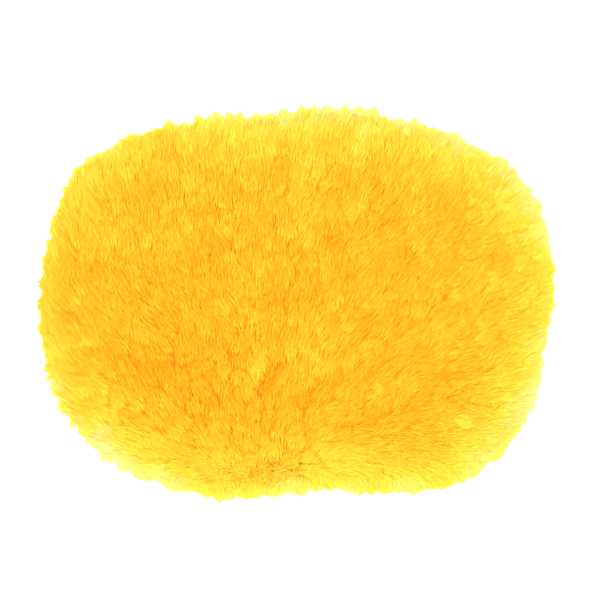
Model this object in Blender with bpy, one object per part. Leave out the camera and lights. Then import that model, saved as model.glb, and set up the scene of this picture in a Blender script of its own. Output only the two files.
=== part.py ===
"""A two-sided wash mitt: deep pile over a sewn bag, with a lined hand pocket and an elastic cuff.

Metres, +Z up. The mitt lies on its back on the ground, with the origin under its middle.
+X runs along the mitt towards its mouth. The front half lifts about the seam at the closed end.
"""
import math

import bmesh
import bpy

# Driving dimensions
LENGTH = 0.270          # over the pile, along X
WIDTH = 0.204           # over the pile, along Y
ROUNDNESS = 2.5         # exponent of the outline's superellipse: 2 is an ellipse, more is squarer
PILE_REACH = 0.020      # how far the pile stands out past the sewn bag, all round
FRONT_PILE = 0.0185     # depth of pile over the palm side
BACK_PILE = 0.0150      # depth of pile under the back, pressed by the mitt's own weight
POCKET_HALF = 0.0125    # half the height of the hand pocket
MOUTH_X = 0.100         # where the bag's straight open end is
MOUTH_FLARE = 0.015     # how much longer the bag's curve would run if its open end weren't cut straight
CUFF_STRAIGHT = 0.0395  # half the length of the straight sides of the cuff's oval
CUFF_RADIUS = 0.0117    # radius of the cuff's round ends, outside
CUFF_WALL = 0.0022
CUFF_START = 0.092
CUFF_END = 0.122
BAND_WIDTH = 0.0066     # the groove in the cuff's hem that the elastic lies in
BAND_DEPTH = 0.0013
BAND_FROM_HEM = 0.0024
LOOP_LENGTH = 0.034     # from the hinge to the far end of the loop
LOOP_HEIGHT = 0.008     # width of the loop's tape, which stands on edge
LOOP_BEND = 0.0026      # outer radius of the loop's two bends
LOOP_ASIDE = 0.0050     # how far the loop sits beyond the straight part of the cuff
LABEL_START = 0.058     # the label's sewn edge, along X
LABEL_SIDE = -0.034     # its edge away from the middle, along Y
LABEL_LENGTH = 0.020
LABEL_WIDTH = 0.026

# Cloth and foam thicknesses
GAP = 0.0003            # clearance between neighbouring pieces
PILE_GAP = 0.0008       # clearance between the pile's hollow and the bag inside it
LINING = 0.0008
WADDING = 0.0060
BACKING = 0.0015
FACING = 0.0015
TAPE = 0.0008
LABEL = 0.0004
ALLOWANCE_DEPTH = 0.0016    # height of the folded seam allowance
THREAD_RADIUS = 0.00045
TACK = (0.0025, 0.0013, 0.0036)    # size of the thread bar beside the loop's sewn end
STITCH_ROW = 0.0009     # width of the row of stitches along the label
STITCH_RISE = 0.0005

# Heights above or below the seam plane, worked out layer by layer from the pocket
LINING_RISE = POCKET_HALF + LINING
WADDING_BASE = LINING_RISE + GAP
WADDING_TOP = WADDING_BASE + WADDING
FRONT_BACKING_RISE = WADDING_TOP + GAP + BACKING
BACK_BACKING_RISE = LINING_RISE + GAP + BACKING
SEAM_Z = BACK_PILE + PILE_GAP + BACK_BACKING_RISE
FRONT_RISE = FRONT_BACKING_RISE + PILE_GAP + FRONT_PILE

# Plan outlines, each (half length at the closed end, half length at the mouth end, half width)
PILE_EDGE = (LENGTH / 2, LENGTH / 2, WIDTH / 2)
BAG_HALF = LENGTH / 2 - PILE_REACH
BAG_EDGE = (BAG_HALF, BAG_HALF + MOUTH_FLARE, WIDTH / 2 - PILE_REACH)
LINING_INSET = 0.006    # the lining bag is smaller, which leaves a channel for the seam allowance

# Fineness of the meshes
OUTLINE_POINTS = 72
SHOULDER_STEPS = 7
BEND_POINTS = 14
THREAD_SIDES = 6

# How far each part's rounded shoulder runs in from its edge
FRONT_PILE_SHOULDER = 0.060
BACK_PILE_SHOULDER = 0.024
BAG_SHOULDER = 0.020
LINING_SHOULDER = 0.012
WADDING_EDGE = 0.0025
FACING_SPREAD = 1.03    # how much wider than the cuff the facing is
FACING_TOP = FRONT_BACKING_RISE - 2 * BACKING
FACING_BOTTOM = BACK_BACKING_RISE - BACKING / 2 - GAP
RELIEF_SLOPE = math.tan(math.radians(6))    # lets the pile beyond the hinge dip as the mitt opens


def material(name, colour, roughness):
    """A plain cloth material."""
    made = bpy.data.materials.new(name)
    made.use_nodes = True
    shader = made.node_tree.nodes["Principled BSDF"]
    shader.inputs["Base Color"].default_value = (*colour, 1.0)
    shader.inputs["Roughness"].default_value = roughness
    shader.inputs["Metallic"].default_value = 0.0
    return made


def inset(edge, distance):
    """The same outline, moved in by distance."""
    return tuple(half - distance for half in edge)


def plan_ring(edge, z, x_limit=None):
    """Points round a superellipse outline at height z, cut off straight at x_limit."""
    closed_half, mouth_half, half_y = edge
    power = 2 / ROUNDNESS
    ring = []
    for i in range(OUTLINE_POINTS):
        angle = 2 * math.pi * i / OUTLINE_POINTS
        c = math.cos(angle)
        s = math.sin(angle)
        half_x = mouth_half if c > 0 else closed_half
        x = half_x * math.copysign(abs(c) ** power, c)
        y = half_y * math.copysign(abs(s) ** power, s)
        if x_limit is not None:
            x = min(x, x_limit)
        ring.append((x, y, z))
    return ring


def dome_rings(edge, side, rise, shoulder, x_limit=None):
    """Rings from the seam plane over a rounded shoulder to a flat crown. side is 1 upwards, -1 downwards."""
    rings = []
    for step in range(SHOULDER_STEPS + 1):
        angle = math.pi / 2 * step / SHOULDER_STEPS
        level = GAP / 2 + (rise - GAP / 2) * math.sin(angle)
        moved_in = shoulder * (1 - math.cos(angle))
        rings.append(plan_ring(inset(edge, moved_in), SEAM_Z + side * level, x_limit))
    return rings


def oval_ring(x, radius):
    """Points round the cuff's oval, which has straight top and bottom sides, in the plane at x."""
    ring = []
    for end in (1, -1):
        for i in range(BEND_POINTS + 1):
            angle = math.pi * (i / BEND_POINTS - 0.5)
            y = end * (CUFF_STRAIGHT + radius * math.cos(angle))
            z = SEAM_Z + end * radius * math.sin(angle)
            ring.append((x, y, z))
    return ring


def loft(name, rings, made_of, closed=False):
    """A solid through rings of equal length, capped at both ends, or joined end to start if closed."""
    bm = bmesh.new()
    rows = [[bm.verts.new(point) for point in ring] for ring in rings]
    pairs = list(zip(rows, rows[1:]))
    if closed:
        pairs.append((rows[-1], rows[0]))
    else:
        bm.faces.new(rows[0])
        bm.faces.new(rows[-1])
    for lower, upper in pairs:
        count = len(lower)
        for i in range(count):
            j = (i + 1) % count
            bm.faces.new((lower[i], lower[j], upper[j], upper[i]))
    bmesh.ops.recalc_face_normals(bm, faces=bm.faces)
    mesh = bpy.data.meshes.new(name)
    bm.to_mesh(mesh)
    bm.free()
    obj = bpy.data.objects.new(name, mesh)
    bpy.context.scene.collection.objects.link(obj)
    obj.data.materials.append(made_of)
    return obj


def block(name, low, high, made_of):
    """A box between two corners."""
    rings = []
    for z in (low[2], high[2]):
        rings.append([(low[0], low[1], z), (high[0], low[1], z), (high[0], high[1], z), (low[0], high[1], z)])
    return loft(name, rings, made_of)


def cut(obj, cutter):
    """Takes cutter's space out of obj."""
    boolean = obj.modifiers.new("cut", "BOOLEAN")
    boolean.operation = "DIFFERENCE"
    boolean.solver = "EXACT"
    boolean.object = cutter
    cutter.hide_render = True
    cutter.display_type = "WIRE"


def smooth(obj):
    """Round pieces are shaded smooth, with crisp rims."""
    obj.data.shade_smooth()
    obj.data.set_sharp_from_angle(angle=math.radians(40))


def set_origin(obj, pivot):
    """Puts a moving piece's origin on its joint's axis, and leaves its shape where it is."""
    for vertex in obj.data.vertices:
        vertex.co = [a - b for a, b in zip(vertex.co, pivot)]
    obj.location = pivot


def make_front_pile(tunnel, made_of):
    """The palm side's pile: a deep dome, hollow underneath for the bag, with the upper half of the mouth."""
    outer = dome_rings(PILE_EDGE, 1, FRONT_RISE, FRONT_PILE_SHOULDER)
    relieved = []
    for x, y, z in outer[0]:
        beyond_hinge = max(0.0, -BAG_HALF - x)
        relieved.append((x, y, z + beyond_hinge * RELIEF_SLOPE))
    outer[0] = relieved
    cavity = dome_rings(inset(BAG_EDGE, -PILE_GAP), 1, FRONT_BACKING_RISE + PILE_GAP, BAG_SHOULDER,
                        MOUTH_X + FACING + 2 * GAP)
    pile = loft("front_pile", cavity[::-1] + outer, made_of)
    cut(pile, tunnel)
    smooth(pile)


def make_back_pile(tunnel, made_of):
    """The back's pile, pressed flat where the mitt lies on it, with the lower half of the mouth."""
    outer = dome_rings(PILE_EDGE, -1, SEAM_Z, BACK_PILE_SHOULDER)
    cavity = dome_rings(inset(BAG_EDGE, -PILE_GAP), -1, BACK_BACKING_RISE + PILE_GAP, BAG_SHOULDER,
                        MOUTH_X + FACING + 2 * GAP)
    pile = loft("back_pile", cavity[::-1] + outer, made_of)
    cut(pile, tunnel)
    smooth(pile)


def make_tray(name, side, edge, rise, shoulder, thickness, opening, made_of):
    """One half of a cloth bag, open at the mouth."""
    outer = dome_rings(edge, side, rise, shoulder)
    inner = dome_rings(inset(edge, thickness), side, rise - thickness, shoulder - thickness)
    tray = loft(name, inner[::-1] + outer, made_of)
    cut(tray, opening)
    smooth(tray)


def make_wadding(made_of):
    """The foam sheet between the palm's lining and backing."""
    edge = inset(BAG_EDGE, BAG_SHOULDER - WADDING_EDGE)
    limit = MOUTH_X - WADDING_EDGE
    levels = [
        (WADDING_EDGE, WADDING_BASE),
        (0.0, WADDING_BASE + WADDING / 3),
        (0.0, WADDING_TOP - WADDING / 3),
        (WADDING_EDGE, WADDING_TOP),
    ]
    rings = [plan_ring(inset(edge, back), SEAM_Z + z, limit) for back, z in levels]
    smooth(loft("palm_wadding", rings, made_of))


def make_seam(opening, allowance_cloth, thread):
    """The folded seam allowance inside the bag's edge, and the overlock thread along it."""
    outer_inset = BACKING + 3 * GAP
    inner_inset = LINING_INSET - 2 * GAP
    thread_middle = SEAM_Z - GAP - THREAD_RADIUS
    top = thread_middle - THREAD_RADIUS - GAP
    bottom = top - ALLOWANCE_DEPTH
    corners = [(outer_inset, bottom), (outer_inset, top), (inner_inset, top), (inner_inset, bottom)]
    rings = [plan_ring(inset(BAG_EDGE, back), z) for back, z in corners]
    allowance = loft("seam_allowance", rings, allowance_cloth, closed=True)
    cut(allowance, opening)

    middle = (outer_inset + inner_inset) / 2
    rings = []
    for i in range(THREAD_SIDES):
        angle = 2 * math.pi * i / THREAD_SIDES
        back = middle + THREAD_RADIUS * math.cos(angle)
        z = thread_middle + THREAD_RADIUS * math.sin(angle)
        rings.append(plan_ring(inset(BAG_EDGE, back), z))
    stitches = loft("seam_thread", rings, thread, closed=True)
    cut(stitches, opening)


def make_cuff(knit, elastic, thread, facing_cloth):
    """The knitted cuff with an elastic band in its hem, its stitching, and the facing it is sewn to."""
    band_end = CUFF_END - BAND_FROM_HEM
    band_start = band_end - BAND_WIDTH
    band_floor = CUFF_RADIUS - BAND_DEPTH
    profile = [
        (CUFF_START, CUFF_RADIUS),
        (band_start, CUFF_RADIUS),
        (band_start, band_floor),
        (band_end, band_floor),
        (band_end, CUFF_RADIUS),
        (CUFF_END, CUFF_RADIUS),
        (CUFF_END, CUFF_RADIUS - CUFF_WALL),
        (CUFF_START, CUFF_RADIUS - CUFF_WALL),
    ]
    smooth(loft("cuff", [oval_ring(x, radius) for x, radius in profile], knit, closed=True))

    band = [
        (band_start + GAP, CUFF_RADIUS - GAP),
        (band_end - GAP, CUFF_RADIUS - GAP),
        (band_end - GAP, band_floor + GAP),
        (band_start + GAP, band_floor + GAP),
    ]
    smooth(loft("cuff_elastic", [oval_ring(x, radius) for x, radius in band], elastic, closed=True))

    rings = []
    for i in range(THREAD_SIDES):
        angle = 2 * math.pi * i / THREAD_SIDES
        x = CUFF_START - GAP - THREAD_RADIUS * (1 + math.cos(angle))
        rings.append(oval_ring(x, CUFF_RADIUS - CUFF_WALL / 2 + THREAD_RADIUS * math.sin(angle)))
    smooth(loft("cuff_stitching", rings, thread, closed=True))

    start = MOUTH_X + GAP
    end = start + FACING
    hole = CUFF_RADIUS + GAP
    corners = [(start, False), (start, True), (end, True), (end, False)]
    rings = []
    for x, outside in corners:
        ring = []
        for _, y, z in oval_ring(x, hole):
            share = (z - SEAM_Z) / hole
            if outside:
                y = y * FACING_SPREAD
                z = SEAM_Z + share * (FACING_TOP if share > 0 else FACING_BOTTOM)
            ring.append((x, y, z))
        rings.append(ring)
    smooth(loft("mouth_facing", rings, facing_cloth, closed=True))


def make_hang_loop(webbing, thread):
    """A loop of tape on edge, tucked into the mouth's corner. It swings out about a vertical axis."""
    pivot = (CUFF_END + TAPE, CUFF_STRAIGHT + LOOP_ASIDE, SEAM_Z)
    far = pivot[0] - LOOP_LENGTH + LOOP_BEND
    low = SEAM_Z - LOOP_HEIGHT / 2
    high = SEAM_Z + LOOP_HEIGHT / 2
    inside = LOOP_BEND - TAPE
    rings = []
    for radius, z in ((LOOP_BEND, low), (LOOP_BEND, high), (inside, high), (inside, low)):
        ring = []
        for end, middle in ((1, pivot[0]), (-1, far)):
            for i in range(BEND_POINTS + 1):
                angle = math.pi * (i / BEND_POINTS - 0.5)
                x = middle + end * radius * math.cos(angle)
                y = pivot[1] + end * radius * math.sin(angle)
                ring.append((x, y, z))
        rings.append(ring)
    loop = loft("hang_loop", rings, webbing, closed=True)
    smooth(loop)
    set_origin(loop, pivot)

    length, thickness, height = TACK
    corner = (CUFF_END - TAPE - length, pivot[1] + LOOP_BEND + GAP, SEAM_Z - height / 2)
    block("loop_bartack", corner, (corner[0] + length, corner[1] + thickness, corner[2] + height), thread)


def make_label(cloth, thread):
    """A blank care label sewn by one edge to the back's lining. It flips up about that edge."""
    base = SEAM_Z - POCKET_HALF + GAP
    far_side = LABEL_SIDE + LABEL_WIDTH
    far_corner = (LABEL_START + LABEL_LENGTH, far_side, base + LABEL)
    label = block("care_label", (LABEL_START, LABEL_SIDE, base), far_corner, cloth)
    set_origin(label, (LABEL_START, LABEL_SIDE + LABEL_WIDTH / 2, base + LABEL / 2))
    row_end = LABEL_START - 2 * GAP
    row_corner = (row_end - STITCH_ROW, LABEL_SIDE, base)
    block("label_stitching", row_corner, (row_end, far_side, base + STITCH_RISE), thread)


def main():
    for obj in list(bpy.data.objects):
        bpy.data.objects.remove(obj)

    pile = material("pile", (0.95, 0.60, 0.05), 0.85)
    backing = material("backing_cloth", (0.85, 0.62, 0.12), 0.9)
    lining = material("lining_cloth", (0.88, 0.86, 0.80), 0.8)
    foam = material("wadding", (0.92, 0.90, 0.84), 0.95)
    knit = material("knit", (0.93, 0.66, 0.08), 0.85)
    elastic = material("elastic", (0.90, 0.90, 0.88), 0.7)
    thread = material("thread", (0.94, 0.70, 0.12), 0.7)
    webbing = material("webbing", (0.93, 0.64, 0.06), 0.75)
    label_cloth = material("label_cloth", (0.95, 0.95, 0.93), 0.7)

    opening = block("opening_cutter", (MOUTH_X, -WIDTH, -LENGTH), (LENGTH, WIDTH, LENGTH), backing)
    tunnel_rings = [oval_ring(x, CUFF_RADIUS + GAP) for x in (MOUTH_X + GAP, LENGTH)]
    tunnel = loft("tunnel_cutter", tunnel_rings, pile)

    lining_edge = inset(BAG_EDGE, LINING_INSET)
    make_front_pile(tunnel, pile)
    make_tray("front_backing", 1, BAG_EDGE, FRONT_BACKING_RISE, BAG_SHOULDER, BACKING, opening, backing)
    make_wadding(foam)
    make_tray("front_lining", 1, lining_edge, LINING_RISE, LINING_SHOULDER, LINING, opening, lining)
    make_back_pile(tunnel, pile)
    make_tray("back_backing", -1, BAG_EDGE, BACK_BACKING_RISE, BAG_SHOULDER, BACKING, opening, backing)
    make_tray("back_lining", -1, lining_edge, LINING_RISE, LINING_SHOULDER, LINING, opening, lining)
    make_seam(opening, backing, thread)
    make_cuff(knit, elastic, thread, backing)
    make_hang_loop(webbing, thread)
    make_label(label_cloth, thread)


main()
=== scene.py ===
"""The looks of a yellow wash mitt: deep pile made of real strands, and the cloth, foam and thread inside."""
import itertools
import math

import bmesh
import bpy
import numpy as np
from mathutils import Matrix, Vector, kdtree


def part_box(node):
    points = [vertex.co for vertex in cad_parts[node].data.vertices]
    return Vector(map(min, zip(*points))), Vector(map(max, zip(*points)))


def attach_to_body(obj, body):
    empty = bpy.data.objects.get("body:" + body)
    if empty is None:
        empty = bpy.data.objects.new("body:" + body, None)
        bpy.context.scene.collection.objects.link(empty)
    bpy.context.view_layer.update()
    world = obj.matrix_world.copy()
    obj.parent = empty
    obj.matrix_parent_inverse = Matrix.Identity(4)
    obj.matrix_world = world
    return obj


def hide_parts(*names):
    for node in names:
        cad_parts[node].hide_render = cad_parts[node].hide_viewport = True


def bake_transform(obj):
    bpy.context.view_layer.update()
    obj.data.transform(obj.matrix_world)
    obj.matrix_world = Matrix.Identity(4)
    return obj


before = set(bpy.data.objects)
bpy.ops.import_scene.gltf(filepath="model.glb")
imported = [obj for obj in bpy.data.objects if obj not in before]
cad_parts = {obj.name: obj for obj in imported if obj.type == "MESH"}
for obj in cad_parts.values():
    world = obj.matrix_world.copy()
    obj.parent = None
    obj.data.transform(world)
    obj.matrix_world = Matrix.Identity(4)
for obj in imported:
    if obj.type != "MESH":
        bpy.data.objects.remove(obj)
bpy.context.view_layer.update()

RANDOM = np.random.default_rng(20)

# Places read from the frame
PILE_LOW, PILE_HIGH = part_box("back_pile")
CUFF_LOW, CUFF_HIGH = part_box("cuff")
BAG_LOW, BAG_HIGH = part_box("front_backing")
LINING_LOW, LINING_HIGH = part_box("front_lining")
SEAM_Z = (CUFF_LOW.z + CUFF_HIGH.z) / 2
HALF_X = -PILE_LOW.x
HALF_Y = PILE_HIGH.y
TOP_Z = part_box("front_pile")[1].z
MOUTH_X = BAG_HIGH.x
CUFF_RADIUS = CUFF_HIGH.z - SEAM_Z
CUFF_STRAIGHT = CUFF_HIGH.y - CUFF_RADIUS    # half the length of the oval's straight sides

# The sewn bag. A side is 1 for the palm and -1 for the back.
ROUNDNESS = 2.5             # exponent of every outline's superellipse
MOUTH_FLARE = 0.015         # how much longer the bag's curve would run if its mouth weren't cut straight
BAG_EDGE = (-BAG_LOW.x, -BAG_LOW.x + MOUTH_FLARE, BAG_HIGH.y)
BAG_SHOULDER = 0.020
BAG_RISE = {1: BAG_HIGH.z - SEAM_Z, -1: SEAM_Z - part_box("back_backing")[0].z}    # of each side, from the seam
LINING_INSET = LINING_LOW.x - BAG_LOW.x
LINING_RISE = {1: LINING_HIGH.z - SEAM_Z, -1: SEAM_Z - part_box("back_lining")[0].z}
LINING_SHOULDER = 0.012
GAP = 0.0003                # clearance between neighbouring pieces
BACKING = 0.0015
LINING = 0.0008
CUFF_WALL = 0.0022

# The pile
OUTLINE_SIZE = 0.998        # the outline's mean size, as a share of the CAD's
FUR_REACH = 0.0085          # how far the strands stand out past the undercoat at the rim
MOUTH_REACH = 0.0050        # and round the mouth, where the undercoat comes out past the cuff
FUR_RISE = 0.0036           # and over the palm, where they lie down
FRONT_POWER = 2.9           # squareness of the palm side's section
BACK_POWER = 3.6
STRAND_LENGTH = 0.0100
STRAND_WIDTH = 0.00044
STRAND_FOOT = 0.0025        # how deep a strand's foot sits in the undercoat
LOCK_SPACING = 0.0066
LOCK_CANDIDATES = 26000     # places tried for the locks of one side
FRONT_STRANDS = 260000
BACK_STRANDS = 60000
STRANDS_PER_PIECE = 18000
FILL_SHARE = 0.35           # share of strands that belong to no lock and cover the ground between them
BRUSHED_FROM = (-0.006, -0.092)    # the place by the lower rim that the pile is brushed away from
BRUSH_SOFTNESS = 0.020      # how gently the brushing turns there
BRUSH_SPREADS = (0.55, 1.15)       # how much it spreads toward the closed end, and toward the mouth
BRUSH_TURN = -8             # degrees that all of it is turned
LOOSE_EDGE = -0.100         # y where the pile isn't brushed at all and stands on end
BRUSHED_EDGE = -0.062       # y above which it is fully brushed
CREASE = (-0.0147, -0.0415, 57)    # middle and direction of a short furrow in the pile
CREASE_LENGTH = 0.0095
CREASE_WIDTH = 0.0030
TUFT_WIDTHS = (0.0040, 0.0150)     # least and greatest width of the tufts along the rim
TUFT_HEIGHT = 0.0052
TIP_WIDTHS = (0.0012, 0.0042)      # and of the small points on them
TIP_HEIGHT = 0.0030
RIM_DEPTH = 0.0034          # how far inside the outline the notches between the tufts end
STRETCH_FROM = SEAM_Z - 0.0030     # strands that come nearer the seam than these heights (the lower for the back, the upper for the palm) go into pieces on no body
STRETCH_TO = SEAM_Z + 0.0085
COLOUR_LAYER = "OFBake"     # the UV layer that holds each strand's tone and level

# (direction in degrees, spread in degrees, share of the radius) of the outline's hollows and bulges
OUTLINE_WAVES = (
    (312, 14, 0.060),
    (350, 9, -0.030),
    (100, 13, -0.044),
    (56, 12, -0.025),
    (20, 5, 0.010),
    (222, 14, 0.026),
    (246, 12, 0.030),
    (122, 8, -0.030),
    (277, 12, -0.030),
    (148, 9, 0.018),
    (165, 7, -0.014),
)

# (x, y, half length, half width, turn in degrees, change of tone) of patches where the pile's colour differs;
# two of them are painted shade and a painted highlight at the crease
TONE_PATCHES = (
    (-0.064, -0.036, 0.032, 0.014, 0, -0.22),
    # Painted shade: the crease's furrow, painted deeper orange.
    (*CREASE[:2], CREASE_LENGTH, CREASE_WIDTH, CREASE[2], -0.50),
    # Painted highlight: a lighter strip along the crease's side.
    (-0.0215, -0.0360, 0.0080, 0.0040, 57, 0.20),
    (-0.095, -0.070, 0.034, 0.016, -35, 0.14),
    (-0.130, 0.010, 0.030, 0.056, 0, -0.26),
    (-0.085, 0.080, 0.045, 0.022, 25, -0.10),
    (0.130, 0.000, 0.022, 0.030, 8, -0.05),
    (0.106, 0.064, 0.040, 0.028, -35, 0.10),
    (0.108, -0.058, 0.028, 0.028, 0, 0.08),
    (0.000, -0.062, 0.080, 0.018, 0, -0.10),
    (0.000, -0.103, 0.062, 0.012, 0, -0.10),
)


# ---------------------------------------------------------------- shapes of the pile

def outline_radius(angle):
    """Distance from the middle to the mitt's outline in each direction."""
    c = np.abs(np.cos(angle)) / HALF_X
    s = np.abs(np.sin(angle)) / HALF_Y
    radius = (c ** ROUNDNESS + s ** ROUNDNESS) ** (-1 / ROUNDNESS)
    scale = np.full_like(angle, OUTLINE_SIZE)
    for centre, spread, share in OUTLINE_WAVES:
        apart = np.degrees(np.arccos(np.clip(np.cos(angle - math.radians(centre)), -1, 1)))
        scale += share * np.exp(-(apart / spread) ** 2)
    return radius * scale


def fur_reach(angle):
    """How far the strands stand out past the undercoat in each direction."""
    mouthward = np.exp(-(np.sin(angle) / 0.55) ** 4) * (np.cos(angle) > 0)
    return FUR_REACH + (MOUTH_REACH - FUR_REACH) * mouthward


def undercoat_point(angle, turn, side):
    """A point on the undercoat. turn runs from 0 at the crown to 1 at the seam plane."""
    power = FRONT_POWER if side > 0 else BACK_POWER
    out = np.sin(turn * math.pi / 2) ** (2 / power)
    up = np.cos(turn * math.pi / 2) ** (2 / power)
    height = TOP_Z - SEAM_Z - FUR_RISE if side > 0 else SEAM_Z - 0.001
    radius = (outline_radius(angle) - fur_reach(angle)) * out
    z = SEAM_Z + side * height * up
    return np.stack([radius * np.cos(angle), radius * np.sin(angle), z], axis=-1)


def sample_surface(count, side):
    """Points over one side of the undercoat, closer on its walls and lower rim, and their outward normals."""
    angles = np.linspace(0, 2 * math.pi, 361)
    turns = np.linspace(0.004, 1, 120) ** (FRONT_POWER / 2)
    grid_angle, grid_turn = np.meshgrid(angles, turns, indexing="ij")
    grid = undercoat_point(grid_angle, grid_turn, side)
    along = grid[1:, :-1] - grid[:-1, :-1]
    down = grid[:-1, 1:] - grid[:-1, :-1]
    area = np.linalg.norm(np.cross(along, down), axis=-1).ravel()
    steepness = 1 - np.abs(unit(np.cross(along, down))[..., 2]).ravel()
    area *= 2 - brushed_share(grid[1:, 1:].reshape(-1, 3)) + 0.9 * steepness
    cell = RANDOM.choice(len(area), size=count, p=area / area.sum())
    i, j = np.divmod(cell, len(turns) - 1)
    angle = angles[i] + RANDOM.random(count) * (angles[1] - angles[0])
    turn = turns[j] + RANDOM.random(count) * (turns[1] - turns[0])
    step = 1e-3
    point = undercoat_point(angle, turn, side)
    onward = undercoat_point(angle + step, turn, side) - undercoat_point(angle - step, turn, side)
    above = undercoat_point(angle, np.maximum(turn - step, 0), side)
    below = undercoat_point(angle, np.minimum(turn + step, 1), side)
    return point, unit(np.cross(below - above, onward) * side)


def smooth_noise(points, scale, seed):
    """A soft random value between about -1 and 1 that varies over distance scale."""
    rng = np.random.default_rng(seed)
    total = np.zeros(points.shape[:-1])
    waves = 7
    for _ in range(waves):
        direction = rng.normal(size=3)
        direction /= np.linalg.norm(direction)
        pace = 2 * math.pi / scale * rng.uniform(0.6, 1.5)
        total += np.sin(points @ direction * pace + rng.uniform(0, 7))
    return total / math.sqrt(waves)


def unit(vectors):
    """The vectors at length 1."""
    return vectors / np.maximum(np.linalg.norm(vectors, axis=-1, keepdims=True), 1e-12)


def brushed_share(points):
    """0 at the lower rim, where the pile stands on end, rising softly to 1 over the palm."""
    share = np.clip((points[:, 1] - LOOSE_EDGE) / (BRUSHED_EDGE - LOOSE_EDGE), 0, 1)
    return share * share * (3 - 2 * share)


def in_patch(points, x, y, turn):
    """Each point's place along and across a patch that is turned by an angle in degrees."""
    c, s = math.cos(math.radians(turn)), math.sin(math.radians(turn))
    along = (points[:, 0] - x) * c + (points[:, 1] - y) * s
    across = (points[:, 1] - y) * c - (points[:, 0] - x) * s
    return along, across


def flow(points):
    """How far and which way the pile is brushed: outward from the lower rim, and off the crease."""
    step = points[:, :2] - np.array(BRUSHED_FROM)
    sideways = step[:, 0] * np.where(step[:, 0] < 0, *BRUSH_SPREADS)
    angle = np.arctan2(np.hypot(step[:, 1], BRUSH_SOFTNESS), sideways) + math.radians(BRUSH_TURN)
    angle += 0.18 * smooth_noise(points, 0.075, 1) + 0.12 * smooth_noise(points, 0.026, 2)
    over = 0.1 + 0.9 * brushed_share(points)
    along, across = in_patch(points, *CREASE)
    near = np.exp(-(along / CREASE_LENGTH) ** 2 - (across / (2 * CREASE_WIDTH)) ** 2)
    parted = 0.9 * near * np.tanh(across / CREASE_WIDTH)
    x = np.cos(angle) * over - parted * math.sin(math.radians(CREASE[2]))
    y = np.sin(angle) * over + parted * math.cos(math.radians(CREASE[2]))
    return np.stack([x, y, np.zeros(len(points))], axis=-1)


def turned(directions, angles):
    """Each horizontal direction turned about +Z by its angle."""
    c, s = np.cos(angles), np.sin(angles)
    x = directions[:, 0] * c - directions[:, 1] * s
    y = directions[:, 0] * s + directions[:, 1] * c
    return np.stack([x, y, directions[:, 2]], axis=-1)


def along_ground(directions, normals):
    """Each direction's part along the cloth. It fades on the walls, where the pile stands straight out."""
    level = np.clip(np.abs(normals[:, 2:]) * 1.8 - 0.25, 0, 1)
    return (directions - normals * np.sum(directions * normals, axis=-1, keepdims=True)) * level


def rim_share(points):
    """1 at the mitt's rim, falling to 0 over the palm."""
    angle = np.arctan2(points[:, 1], points[:, 0])
    from_edge = outline_radius(angle) - np.hypot(points[:, 0], points[:, 1])
    return np.exp(-(np.maximum(from_edge - 0.004, 0) / 0.022) ** 1.2)


def pile_tone(points):
    """0 for the deepest orange, 1 for the pale lemon of the rim, which is painted light: the glow of light
    through the thin tips at the edge.
    """
    # The rim's share paints light: the pale lemon glow of light through the tips at the edge.
    tone = 0.27 + 0.58 * rim_share(points) + 0.05 * smooth_noise(points, 0.03, 5)
    tone -= 0.42 * np.clip((SEAM_Z + 0.014 - points[:, 2]) / 0.026, 0, 1)
    for x, y, half_length, half_width, turn, change in TONE_PATCHES:
        along, across = in_patch(points, x, y, turn)
        tone += change * np.exp(-(along / half_length) ** 2 - (across / half_width) ** 2)
    return tone


def outside_mouth(points, margin=0.001):
    """True where a root isn't in the mouth's opening."""
    beside = np.maximum(np.abs(points[:, 1]) - CUFF_STRAIGHT, 0)
    clear = np.hypot(beside, points[:, 2] - SEAM_Z) > CUFF_RADIUS + margin
    return clear | (points[:, 0] < CUFF_LOW.x)


def clear_mouth(path):
    """Lifts strands that would lie in the cuff out of it; past its end a few hang over its edge."""
    most = np.abs(RANDOM.normal(0, 0.0014, len(path)))[:, None]
    hang = np.where(path[..., 0] > CUFF_HIGH.x + 0.001, most, 0)
    radius = CUFF_RADIUS + 0.0010 - hang
    beside = np.maximum(np.abs(path[..., 1]) - CUFF_STRAIGHT, 0)
    least = np.sqrt(np.maximum(radius ** 2 - beside ** 2, 0))
    level = path[..., 2] - SEAM_Z
    above = np.where(path[:, :1, 2] > SEAM_Z, 1.0, -1.0)
    blocked = (path[..., 0] > MOUTH_X) & (level * above < least) & (least > 0)
    path[..., 2] = np.where(blocked, SEAM_Z + above * least, path[..., 2])
    return path


# ---------------------------------------------------------------- locks, tufts and strands

def make_locks(points):
    """Indexes of the points that become locks, each at a least distance from the others."""
    taken = {}
    kept = []
    for index, point in enumerate(points.tolist()):
        cell = tuple(math.floor(value / LOCK_SPACING) for value in point)
        around = itertools.product(*((value - 1, value, value + 1) for value in cell))
        others = [other for place in around for other in taken.get(place, ())]
        if all(math.dist(other, point) >= LOCK_SPACING * 0.85 for other in others):
            taken.setdefault(cell, []).append(point)
            kept.append(index)
    return np.array(kept)


def rim_tufts(widths, height, missing):
    """Tufts round the rim: where each starts, its width, how far along its point is, and its height."""
    starts, spans, apexes, heights = [], [], [], []
    angle = 0.0
    while angle < 2 * math.pi:
        radius = float(outline_radius(np.array([angle]))[0])
        span = widths[0] * (widths[1] / widths[0]) ** RANDOM.random() / radius
        starts.append(angle)
        spans.append(span)
        apexes.append(RANDOM.uniform(0.25, 0.75))
        heights.append(height * RANDOM.uniform(0.3, 1.0) * (RANDOM.random() > missing))
        angle += span
    return np.array(starts), np.array(spans), np.array(apexes), np.array(heights)


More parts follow.
